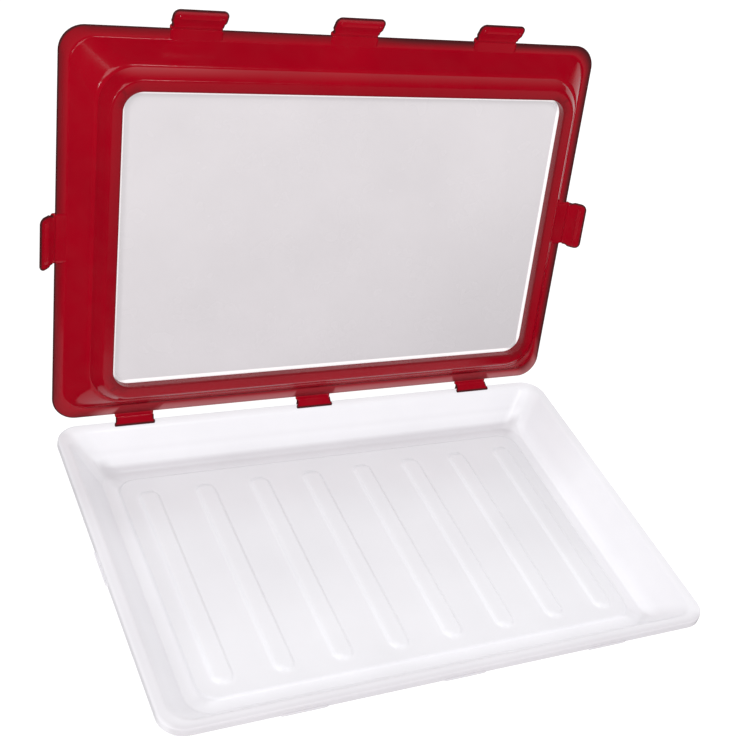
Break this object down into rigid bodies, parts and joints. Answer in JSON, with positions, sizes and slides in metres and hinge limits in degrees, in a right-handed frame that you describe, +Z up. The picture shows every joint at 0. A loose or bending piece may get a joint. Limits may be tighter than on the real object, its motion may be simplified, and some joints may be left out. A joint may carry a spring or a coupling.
{
  "type": "food storage container",
  "caption": "Shallow rectangular food tray with a ribbed floor, and a framed elastic-film lid standing open, with fold-over clips round its rim.",
  "frame": {"origin": "on the table, under the middle of the open object's bounding box", "axes": "+X to the right along the hinge line, +Y to the back where the lid stands, +Z up"},
  "size_m": [0.32, 0.2574, 0.2428],
  "materials": {
    "tray_white": "milky translucent, satin",
    "lid_red": "polished deep red",
    "film_pale": "clear-milky elastic film, smooth"
  },
  "bodies": {
    "tray": {"tray": "tray_white", "hook_rear_left": "lid_red", "hook_rear_mid": "lid_red", "hook_rear_right": "lid_red"},
    "lid": {"lid_frame": "lid_red", "film_clamp_ring": "lid_red", "stretch_film": "film_pale"},
    "clip_front_left": {"clip_front_left": "lid_red"},
    "clip_front_mid": {"clip_front_mid": "lid_red"},
    "clip_front_right": {"clip_front_right": "lid_red"},
    "clip_side_left": {"clip_side_left": "lid_red"},
    "clip_side_right": {"clip_side_right": "lid_red"}
  },
  "joints": [
    {"name": "lid_hinge", "type": "hinge", "parent": "tray", "child": "lid", "pos_m": [0, 0.0838, 0.023], "axis": [1, 0, 0], "range_deg": [0, 101.5]},
    {"name": "clip_front_left_fold", "type": "hinge", "parent": "lid", "child": "clip_front_left", "pos_m": [-0.084, 0.12635, 0.23212], "axis": [1, 0, 0], "range_deg": [-36, 54]},
    {"name": "clip_front_mid_fold", "type": "hinge", "parent": "lid", "child": "clip_front_mid", "pos_m": [0, 0.12635, 0.23212], "axis": [1, 0, 0], "range_deg": [-36, 54]},
    {"name": "clip_front_right_fold", "type": "hinge", "parent": "lid", "child": "clip_front_right", "pos_m": [0.084, 0.12635, 0.23212], "axis": [1, 0, 0], "range_deg": [-36, 54]},
    {"name": "clip_side_left_fold", "type": "hinge", "parent": "lid", "child": "clip_side_left", "pos_m": [-0.1517, 0.10468, 0.1256], "axis": [0, 0.1994, 0.9799], "range_deg": [-50, 40]},
    {"name": "clip_side_right_fold", "type": "hinge", "parent": "lid", "child": "clip_side_right", "pos_m": [0.1517, 0.10468, 0.1256], "axis": [0, -0.1994, -0.9799], "range_deg": [-50, 40]}
  ]
}
